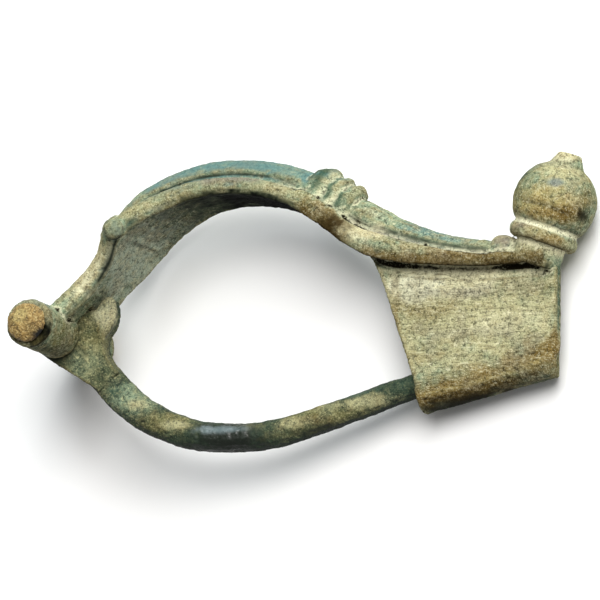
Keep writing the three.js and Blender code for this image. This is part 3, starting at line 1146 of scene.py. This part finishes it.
    def strokes(self) -> tuple[Stroke, ...]:
        """Gives the deposit rings, the rib lines, grime and painted shade in the valleys, painted
        shade below the near edge, the foot and the hump, and the scratches.

        Returns:
            The strokes, the lowest first.
        """
        crests = tuple(Stroke(GREEN, shifted(rib, -0.25, 0, 0.15), 0.36, 0.85, gloss=0.2, calm=0.6)
                       for rib in self.ribs)
        valleys = tuple(Stroke(PALE, shifted(rib, -0.85, -0.1, 0.5), 0.22, 0.55)
                        for rib in self.ribs[1:])
        return (
            Stroke(CHALK, self.finial_ring(3.5, 2.8), 0.34, 0.9, fill=1.0),
            Stroke(PALE, self.finial_ring(1.9, 2.35), 0.5, 0.9, fill=1.0),
            Stroke(UMBER, self.finial_ring(2.15, 2.7)[11:16], 0.16, 0.8, calm=0.8),
            Stroke(BROWN, self.finial_ring(3.15, 3.0)[8:14], 0.13, 0.45),
            # Grime and painted shade in the bow's valley.
            Stroke(DARK, shifted(self.bow_valley[1:5], 0, -0.2, 0.03), 0.11, 0.75, calm=0.9),
            Stroke(SAGE, self.rib_feet, 0.3, 0.5, fill=0.5),
            *crests,
            *valleys,
            Stroke(MAUVE, shifted(self.foot_valley, 0.1, -0.35, -0.45), 0.42, 0.8, gloss=0.2,
                   calm=0.3),
            # Painted shade below the foot's moulding and in the crease where the foot meets the
            # plate.
            Stroke(BROWN, shifted(self.foot_line, 0, -0.9, 0.8), 0.55, 0.85),
            Stroke(UMBER, shifted(self.foot_line, 0, -0.6, 0.42), 0.5, 0.9),
            Stroke(UMBER, shifted(self.foot_line, 0, 0, 0.05), 0.16, 0.6, calm=0.6),
            Stroke(BROWN, shifted(self.foot_line[1:4], 0, 0, 0.28), 0.22, 0.85, fill=0.7),
            # Painted shade: black along the under edge of the near side, below the foot's end and
            # below the hump.
            Stroke(BLACK, self.under_edge, 0.12, 0.5, calm=1.0),
            Stroke(BLACK, self.under_edge[2:], 0.24, 0.85, calm=1.0),
            Stroke(BLACK, ((30.2, -1.6, 5.6), (31.3, -1.4, 4.6), (33.4, -1.1, 4.15)), 0.3, 0.8,
                   calm=0.8),
            Stroke(BLACK, ((43.1, -0.9, 3.3), (44.8, -0.9, 3.1), (47.2, -0.9, 3.45)), 0.16, 0.7,
                   calm=1.0),
            # The brown of the turned-up foot, and streaks of other tones across the plate.
            Stroke(TAN, ((34.8, -0.5, -8.0), (38.0, -0.5, -7.2), (42.0, -0.55, -6.2),
                         (46.0, -0.55, -5.1), (48.1, -0.55, -4.5)), 1.15, 0.9),
            Stroke(BROWN, ((35.2, -0.2, -8.6), (40.0, -0.3, -7.9), (44.0, -0.3, -7.1),
                           (48.1, -0.3, -5.9)), 0.7, 0.65),
            Stroke(GOLD, ((35.4, -0.45, -7.8), (39.0, -0.45, -7.3), (43.0, -0.45, -6.4),
                          (46.5, -0.45, -5.5)), 0.3, 0.6),
            Stroke(UMBER, ((35.8, -0.3, -8.8), (41.0, -0.3, -8.2), (46.0, -0.3, -6.9)), 0.25, 0.7),
            Stroke(MAUVE, ((35.5, -0.53, 1.4), (38.0, -0.53, 1.3), (41.5, -0.53, 1.0)), 0.5, 0.4),
            Stroke(TAN, ((33.2, -0.53, 0.0), (36.0, -0.53, -0.2), (38.4, -0.53, 0.1)), 0.6, 0.35),
            Stroke(OLIVE, ((43.0, -0.53, 1.7), (45.4, -0.53, 1.1), (47.6, -0.53, 1.3)), 0.6, 0.45),
            Stroke(MAUVE, ((36.4, -0.53, -2.6), (40.2, -0.53, -2.3), (43.8, -0.53, -2.9)), 0.5, 0.3),
            Stroke(TAN, ((34.4, -0.53, -4.4), (37.5, -0.53, -4.1)), 0.5, 0.3),
            Stroke(PALE, shifted(self.foot_line, 0, 0, -0.55), 0.28, 0.7, fill=1.0),
            Stroke(BROWN, shifted(self.foot_line, 0, 0, -0.9), 0.07, 0.7),
            Stroke(BROWN, shifted(self.foot_line[:3], 0, 0, -0.42), 0.05, 0.6),
            Stroke(BROWN, ((44.0, -0.53, -4.9), (46.6, -0.53, -4.75)), 0.07, 0.8),
            Stroke(BROWN, ((43.2, -0.53, -4.5), (45.6, -0.53, -4.35)), 0.06, 0.6),
            Stroke(PALE, ((36.6, -0.53, 1.9), (38.2, -0.53, 1.85)), 0.08, 0.9),
            Stroke(PALE, ((44.4, -0.53, -1.2), (47.2, -0.53, -1.0)), 0.06, 0.6),
            Stroke(UMBER, ((46.3, -2.9, 8.6), (47.7, -3.6, 8.2), (49.2, -3.4, 7.6),
                           (50.3, -2.8, 7.2)), 0.2, 0.6),
        )

    def patches(self) -> tuple[Patch, ...]:
        """Gives all the stains, painted shade and painted highlights of the body, one part after the
        other.
        """
        return (self.bow_stains_and_shade() + self.head_stains_and_shadows() + self.rib_stains() + self.foot_stains_and_shade()
                + self.finial_stains_and_painted_light() + self.plate_stains_and_shade())

    def bow_stains_and_shade(self) -> tuple[Patch, ...]:
        """Stains the bow: blue-green on top, grey along the near edge, with painted black shade
        below the crown.

        Returns:
            The patches, the lowest first.
        """
        return (
            Patch(VERDIGRIS, (16.5, 0, 13.2), (16, 6, 3.6), 1.0, 0.25, (-0.3, -0.2, 1), calm=0.65),
            Patch(TEAL, (15.0, 0.5, 14), (6, 3, 2), 0.5, 0.3, (-0.3, 0, 1), calm=0.65),
            Patch(SAGE, (22.5, 0.5, 13.0), (2.2, 3, 1.2), 0.5, 0.1, TOP),
            Patch(BUFF, (9.8, -5.0, 9.9), (2.4, 1.0, 1.2), 0.5, 0.1, (-0.3, -0.8, 1)),
            Patch(BUFF, (22.8, -3.2, 11.6), (3.4, 0.9, 1.6), 0.6, 0.1, (0, -0.6, 1)),
            Patch(MAUVE, (17.6, -3.5, 12.7), (4.6, 1.0, 0.8), 0.8, 0.3, (0, -0.6, 1)),
            Patch(OLIVE, (14, -3, 10.6), (6, 1.6, 1.4), 0.6, 0.0, (0, -1, -0.4)),
            Patch(MOSS, (8, 0, 6.5), (8, 8, 5.5), 0.9, 0.0, (1, 0, -1)),
            # Painted shade: black on the downward faces below the crown and towards the foot.
            Patch(BLACK, (20.5, 0, 10.6), (9.5, 9, 3.0), 1.0, 0.0, DOWN, calm=0.8),
            Patch(BLACK, (26.5, 0, 7.2), (5.0, 6, 3.4), 1.0, 0.0, DOWN, calm=0.8),
            Patch(BROWN, (27.4, -3, 8.4), (4.0, 2.5, 2.6), 0.9, 0.0, (0.1, -1, -0.4)),
            Patch(UMBER, (27.6, -2.8, 7.3), (3.8, 1.6, 1.6), 0.9, 0.0, (0.1, -1, -0.6), calm=0.4),
        )

    def head_stains_and_shadows(self) -> tuple[Patch, ...]:
        """Stains the head plate: bright along its near side, grey-olive inside, with painted shadows
        below the side knob and the bar's head.

        Returns:
            The patches, the lowest first.
        """
        return (
            Patch(PALE, (4.6, -4.2, 4.8), (2.9, 2.4, 4.4), 1.0, 0.0, (-0.9, -1, 0.7), 0.6),
            Patch(TEAL, (7.6, -6.2, 8.3), (1.4, 1.3, 1.3), 1.0, 0.15, calm=0.6),
            Patch(GREEN, (7.0, -6.6, 8.8), (0.6, 0.7, 0.6), 0.7, 0.15),
            Patch(GREEN, (9.1, -5.2, 8.7), (0.9, 0.9, 0.9), 0.8, 0.15, calm=0.5),
            # Painted shadow below the side knob.
            Patch(BLACK, (8.1, -5.6, 7.2), (0.6, 0.9, 1.1), 1.0, 0.0),
            Patch(SLATE, (0.6, -7.0, 1.9), (2.2, 0.9, 0.9), 0.9, 0.4),
            # Painted shadow on the tube's end, below and beside the bar's head.
            Patch(BLACK, (1.5, -7.5, -1.0), (2.4, 0.7, 2.5), 1.0, 0.2),
            Patch(BLACK, (-1.2, -7.5, -0.9), (1.4, 0.5, 2.0), 0.8, 0.2),
            Patch(OLIVE, (1.4, -4.0, -0.8), (2.8, 3.6, 2.4), 0.8, 0.0),
        )

    def rib_stains(self) -> tuple[Patch, ...]:
        """Stains the ribs: green before each crest, paler behind, brown at their feet.

        Returns:
            The patches, the lowest first.
        """
        return (
            Patch(VERDIGRIS, (25.2, -0.6, 12.8), (1.8, 3.0, 1.4), 0.8, 0.2, TOP, calm=0.4),
            Patch(GREEN, (25.8, -0.9, 12.6), (1.1, 3.2, 1.5), 1.0, 0.2, (-1, -0.2, 0.5), calm=0.6),
            Patch(GREEN, (26.9, -1.2, 11.4), (0.7, 2.4, 1.6), 0.7, 0.2, (-1, -0.2, 0.3)),
            Patch(SAGE, (28.4, -1.4, 9.6), (2.0, 1.8, 1.6), 0.7, 0.1, (0.4, -0.6, 1)),
            Patch(UMBER, (27.8, -3.0, 7.6), (3.2, 1.4, 1.5), 0.95, 0.0, (0, -1, -0.2), calm=0.45),
        )

    def foot_stains_and_shade(self) -> tuple[Patch, ...]:
        """Stains the foot: pale blue-green on top, with brown and black painted shade below it where
        it meets the plate.

        Returns:
            The patches, the lowest first.
        """
        return (
            Patch(VERDIGRIS, (37, 0, 6.6), (8, 2.0, 2.4), 0.85, 0.2, TOP, calm=0.1),
            Patch(PALE, (30.6, -2.3, 7.0), (2.4, 1.4, 1.5), 0.95, 0.0, (0.2, -1, 0.5)),
            Patch(BUFF, (34.5, -2.4, 5.2), (3.4, 1.2, 0.6), 0.5, 0.0, (0, -1, 0.4)),
            Patch(MAUVE, (40, -1.9, 4.7), (4.4, 1.0, 0.7), 0.8, 0.3, (0, -1, 0.5)),
            # Painted shade: brown, black and umber on the faces below the foot's moulding and below
            # the hump.
            Patch(BROWN, (36.5, -2.0, 4.0), (7.0, 1.6, 0.9), 0.95, 0.0, (0, -1, -0.8)),
            Patch(BLACK, (30.6, -1.5, 5.0), (2.6, 1.8, 0.9), 1.0, 0.0, (0, -0.7, -0.8), calm=0.6),
            Patch(UMBER, (44.0, -1.4, 3.5), (3.4, 1.2, 0.6), 0.9, 0.0, (0, -0.7, -0.8)),
            Patch(MAUVE, (43.4, -1.0, 5.5), (1.4, 2.4, 1.1), 0.95, 0.3, (-0.3, -0.4, 1), calm=0.4),
            Patch(BUFF, (45.4, -2.0, 4.4), (1.8, 1.6, 0.9), 0.8, 0.0),
        )

    def finial_stains_and_painted_light(self) -> tuple[Patch, ...]:
        """Stains the finial: deposit about the collar, gold, brown and green on the ball, with a
        painted highlight on it and painted shade below it.

        Returns:
            The patches, the lowest first.
        """
        return (
            Patch(BUFF, (46.8, -1.5, 5.0), (3.2, 3.2, 1.2), 0.8, 0.0, None, 1.0),
            Patch(TAN, (48.7, -2.6, 5.1), (2.0, 1.6, 0.7), 0.95, 0.0),
            Patch(MAUVE, (46.1, -2.4, 6.6), (1.9, 2.0, 0.6), 1.0, 0.2, calm=0.4),
            Patch(SAGE, (50.5, -1.2, 4.9), (0.8, 1.6, 0.8), 0.8, 0.1),
            Patch(OLIVE, (48.4, -0.5, 9.2), (5.0, 5.0, 4.8), 0.8, 0.15),
            Patch(BUFF, (49.4, -2.4, 11.0), (2.8, 2.6, 2.2), 0.75, 0.0),
            Patch(OLIVE, (45.4, -2.2, 9.4), (1.3, 2.4, 2.2), 0.7, 0.1),
            Patch(GOLD, (48.4, -2.9, 8.2), (4.2, 2.4, 2.2), 0.8, 0.0),
            Patch(TAN, (48.6, -2.8, 7.4), (3.4, 1.8, 0.8), 0.8, 0.0),
            Patch(BROWN, (50.2, -2.3, 6.9), (1.6, 1.4, 1.0), 0.7, 0.0),
            Patch(GREEN, (45.4, -1.4, 11.7), (2.2, 3.0, 1.9), 0.8, 0.2),
            # Painted highlight: a blue-grey sheen on the ball.
            Patch(SLATE, (49.4, -3.4, 10.1), (1.6, 1.0, 0.6), 0.75, 0.5),
            # Painted shade on the lower side of the ball.
            Patch(DARK, (51.2, -1.0, 7.9), (0.6, 1.7, 2.4), 0.5, 0.0),
            Patch(BLACK, (51.0, -1.3, 7.2), (0.6, 1.0, 0.7), 0.8, 0.0),
            Patch(SAGE, (52.2, 0, 9.4), (0.6, 2.6, 3.0), 0.7, 0.3),
            Patch(PALE, (49.6, -0.6, 13.0), (1.6, 1.6, 1.0), 0.9, 0.0),
            Patch(GREEN, (49.3, 0, 13.9), (1.2, 1.4, 0.45), 1.0, 0.1),
        )

    def plate_stains_and_shade(self) -> tuple[Patch, ...]:
        """Stains the catch-plate: buff, browner on its turned-up foot and its worn edges, with black
        painted shade on the foot's downward faces.

        Returns:
            The patches, the lowest first.
        """
        return (
            Patch(BUFF, (40, -0.5, -1), (12, 1.6, 7), 0.95, 0.05, NEAR),
            Patch(PALE, (37.5, -0.5, 2.2), (8.5, 1.0, 1.7), 0.9, 0.0, NEAR, 1.0),
            Patch(CHALK, (34.8, -0.5, 2.3), (3.2, 1.0, 1.6), 0.8, 0.0, NEAR, 1.0),
            Patch(MAUVE, (41.0, -0.5, 1.3), (3.4, 1.0, 0.7), 0.3, 0.0, NEAR),
            Patch(PALE, (43.5, -0.5, -1.6), (4.4, 1.0, 1.4), 0.35, 0.0, NEAR),
            Patch(OLIVE, (35.6, -0.5, 0.2), (2.4, 1.0, 2.4), 0.3, 0.0, NEAR),
            Patch(BROWN, (41.0, -0.2, -7.9), (9.5, 3.0, 1.5), 0.9, 0.0),
            Patch(BROWN, (46.6, -0.4, -4.6), (2.6, 1.0, 1.3), 0.6, 0.0),
            Patch(BROWN, (32.8, -0.5, 0.2), (0.5, 1.0, 5.0), 0.6, 0.0),
            Patch(GREEN, (48.1, 0.2, 0.5), (0.5, 1.4, 4.5), 0.8, 0.2, (1, 0, 0)),
            Patch(UMBER, (48.0, -0.6, -4.2), (0.5, 1.0, 1.6), 0.8, 0.0),
            # Painted shade: black on the downward faces of the turned-up foot.
            Patch(BLACK, (41, 0.6, -8.4), (11, 3.0, 0.9), 0.8, 0.1, DOWN),
            Patch(DARK, (40, 3.0, -7), (12, 2.0, 3.5), 0.7, 0.0),
        )


# ---- The hinge bar and the pin ----


@dataclass
class HingeBar(CastPiece):
    """The bar through the rolled tube, its two heads peened over and worn bright."""

    solid: Solid = Solid.BAR
    mover: Mover = Mover.BROOCH
    slot: Slot = Slot.BAR
    finish: PatinaFinish = BAR_FINISH
    ground: Colour = paint(152, 126, 74)
    voxel_mm: float = 0.09
    soften: int = 3
    roughen_mm: float = 0.09
    pit_mm: float = 0.08
    seed: float = 2.0

    def patches(self) -> tuple[Patch, ...]:
        """Gives the near head's dark rim, which is painted shadow where the head meets the tube, and
        its brighter middle.

        Returns:
            The patches, the lowest first.
        """
        return (
            Patch(BROWN, (0.9, -8.5, -0.7), (1.0, 0.9, 0.9), 0.5, 0.1),
            # Painted shadow: the black crescent below the head and the ring where it meets the tube.
            Patch(BLACK, (1.4, -8.0, -1.3), (1.0, 0.6, 1.0), 1.0, 0.2),
            Patch(BLACK, (0, -7.7, 0), (3, 0.4, 3), 0.9, 0.2),
            Patch(GOLD, (-0.4, -8.8, 0.5), (1.2, 0.7, 1.1), 0.8, 0.0),
        )


@dataclass
class HingedPin(CastPiece):
    """The bent pin with its lug and the stop that meets the head plate."""

    solid: Solid = Solid.PIN
    mover: Mover = Mover.PIN
    slot: Slot = Slot.PIN
    finish: PatinaFinish = PIN_FINISH
    ground: Colour = paint(46, 62, 46)
    voxel_mm: float = 0.1
    soften: int = 5
    roughen_mm: float = 0.06
    pit_mm: float = 0.08
    seed: float = 3.0
    feather: float = 0.15

    def grooves(self) -> tuple[Groove, ...]:
        """Gives the swellings of the lug and of the stop, which stand out from the flat.

        Returns:
            The grooves, which raise the surface.
        """
        return (
            Groove(((2.2, -0.9, -1.1), (2.8, -0.9, -1.4)), 0.45, -0.2),
            Groove(((4.4, -0.9, 0.2), (4.8, -0.9, 1.2), (4.9, -0.9, 2.4)), 0.7, -0.15),
        )

    def patches(self) -> tuple[Patch, ...]:
        """Gives the pin's stains: olive and tan on its near side, green and black at the bend, with
        a painted highlight on the bend and painted shade on its downward faces.

        Returns:
            The patches, the lowest first.
        """
        return (
            Patch(OLIVE, (3.5, -0.8, -1.5), (5.5, 2.5, 4.5), 0.9, 0.1),
            Patch(SAGE, (2.6, -0.8, -2.6), (2.6, 1.0, 2.2), 0.4, 0.0, NEAR),
            Patch(PALE, (4.9, -0.8, 1.7), (1.6, 1.2, 2.1), 0.85, 0.0, None, 1.0),
            Patch(TAN, (4.0, -0.9, 0.4), (0.25, 0.6, 0.9), 0.5, 0.0, NEAR),
            Patch(DARK, (-0.2, -0.8, -1.9), (2.2, 1.2, 1.2), 0.9, 0.3),
            Patch(DARK, (5.4, -0.4, -0.6), (0.5, 1.2, 1.6), 0.7, 0.3),
            Patch(SAGE, (7.0, -0.8, -6.3), (3.2, 1.8, 2.4), 0.75, 0.1, (0, -1, 0.5)),
            Patch(GREEN, (5.6, -1.0, -5.6), (1.2, 0.8, 0.6), 0.8, 0.2, NEAR),
            Patch(BUFF, (7.8, -1.0, -6.9), (1.3, 0.8, 0.7), 0.7, 0.0, NEAR),
            Patch(OLIVE, (10.8, -0.8, -8.6), (3.4, 1.8, 1.4), 0.9, 0.1, (0, -1, 0.3)),
            Patch(BUFF, (11.6, -0.9, -9.0), (1.5, 0.8, 0.5), 0.7, 0.0, NEAR),
            Patch(BLACK, (16.5, 0.2, -10.6), (4.6, 2.6, 1.6), 0.9, 0.8),
            Patch(DARK, (16.2, 0, -9.6), (3.8, 2.6, 1.4), 0.8, 0.9),
            # Painted highlight along the bend.
            Patch(SLATE, (16.2, -0.6, -9.6), (3.2, 0.9, 0.45), 0.9, 0.8),
            Patch(OLIVE, (25.5, 0.0, -8.9), (7.5, 2.6, 2.2), 0.95, 0.1, (0, -1, 0.1)),
            Patch(BUFF, (22.2, -0.4, -9.3), (2.4, 1.6, 0.8), 0.7, 0.0, (0, -1, 0.3)),
            Patch(BROWN, (24.6, 0.2, -9.2), (2.0, 1.4, 0.6), 0.6, 0.0, NEAR),
            Patch(BUFF, (29.0, 0.2, -7.8), (4.6, 2.0, 0.9), 0.7, 0.0, (0, -1, 0.2)),
            Patch(GREEN, (26.5, 1.2, -7.0), (6.0, 1.6, 0.7), 0.9, 0.5, TOP),
            # Painted shade on the downward faces.
            Patch(DARK, (24.5, 0.6, -9.9), (5.5, 2.0, 0.7), 0.8, 0.3, DOWN),
            Patch(GREEN, (33.4, 1.4, -6.2), (1.6, 2.0, 1.2), 0.5, 0.4),
        )


# ---- Floor, lights and camera ----


@dataclass(frozen=True)
class Lamp:
    """A square soft lamp: its place from the brooch's middle in metres, its side and power."""

    name: str
    place: Spot
    side_mm: float
    watts: float
    colour: Colour


@dataclass
class Studio:
    """The pale floor, the soft lights and the camera."""

    view_turn: float = math.radians(22.0)
    view_lift: float = math.radians(-10.5)
    view_point: Spot = (23.6, -0.66, 1.63)
    view_width_mm: float = 54.0
    view_distance_mm: float = 900.0
    floor_mm: float = 900.0
    floor_tone: float = 0.9
    aim: Spot = (0.0, 0.0, 0.005)
    lamps: tuple[Lamp, ...] = (
        Lamp("key", (0.17, 0.14, 0.35), 280, 2.4, (1.0, 0.99, 0.97)),
        Lamp("top", (0.06, 0.33, 0.2), 240, 0.8, (0.88, 0.96, 1.0)),
    )
    room_light: float = 0.25

    def floor(self) -> None:
        """Lays the floor at the height that the brooch lies on."""
        made = bmesh.new()
        bmesh.ops.create_grid(made, x_segments=1, y_segments=1, size=self.floor_mm * MM)
        mesh = bpy.data.meshes.new("floor")
        made.to_mesh(mesh)
        made.free()
        thing = bpy.data.objects.new("floor", mesh)
        bpy.context.scene.collection.objects.link(thing)
        finish = bpy.data.materials.new("pale_floor")
        finish.use_nodes = True
        shader = finish.node_tree.nodes["Principled BSDF"]
        shader.inputs["Base Color"].default_value = (*[self.floor_tone] * 3, 1.0)
        shader.inputs["Roughness"].default_value = 0.9
        mesh.materials.append(finish)

    def hang(self, lamp: Lamp) -> None:
        """Hangs one lamp and points it at the brooch.

        Args:
            lamp: The lamp.
        """
        data = bpy.data.lights.new(lamp.name, "AREA")
        data.size = lamp.side_mm * MM
        data.energy = lamp.watts
        data.color = lamp.colour
        thing = bpy.data.objects.new(lamp.name, data)
        thing.location = Vector(self.aim) + Vector(lamp.place)
        aim = Vector(self.aim) - thing.location
        thing.rotation_euler = aim.to_track_quat("-Z", "Y").to_euler()
        bpy.context.scene.collection.objects.link(thing)

    def camera(self, upright: UprightFrame) -> None:
        """Sets the camera to look down on the brooch as it lies.

        Args:
            upright: The brooch's own frame.
        """
        turn, lift = self.view_turn, self.view_lift
        back = upright.direction(
            math.sin(turn) * math.cos(lift), -math.cos(turn) * math.cos(lift), math.sin(lift))
        up = upright.direction(
            -math.sin(lift) * math.sin(turn), math.sin(lift) * math.cos(turn), math.cos(lift))
        right = up.cross(back)
        data = bpy.data.cameras.new("camera")
        data.lens = data.sensor_width * self.view_distance_mm / self.view_width_mm
        data.clip_start, data.clip_end = 0.01, 10.0
        thing = bpy.data.objects.new("camera", data)
        bpy.context.scene.collection.objects.link(thing)
        spot = upright.point(*self.view_point) + back * self.view_distance_mm * MM
        turned = Matrix((right, up, back)).transposed().to_4x4()
        thing.matrix_world = Matrix.Translation(spot) @ turned
        bpy.context.scene.camera = thing

    def light(self) -> None:
        """Hangs the lamps and sets the room's own light."""
        for lamp in self.lamps:
            self.hang(lamp)
        world = bpy.data.worlds.new("room")
        bpy.context.scene.world = world
        world.use_nodes = True
        sky = world.node_tree.nodes["Background"]
        sky.inputs["Color"].default_value = (1.0, 1.0, 1.0, 1.0)
        sky.inputs["Strength"].default_value = self.room_light
        bpy.context.scene.view_settings.view_transform = "Standard"


def main() -> None:
    """Builds the brooch and its studio."""
    logging.basicConfig(level=logging.INFO, format="%(name)s: %(message)s")
    upright = UprightFrame()
    group = PatinaGroup().build()
    for piece in (BroochBody(), HingeBar(), HingedPin()):
        thing = piece.build(upright, group)
        log.info("%s: %d faces", thing.name, len(thing.data.polygons))
    studio = Studio()
    studio.floor()
    studio.light()
    studio.camera(upright)


if __name__ == "__main__":
    main()
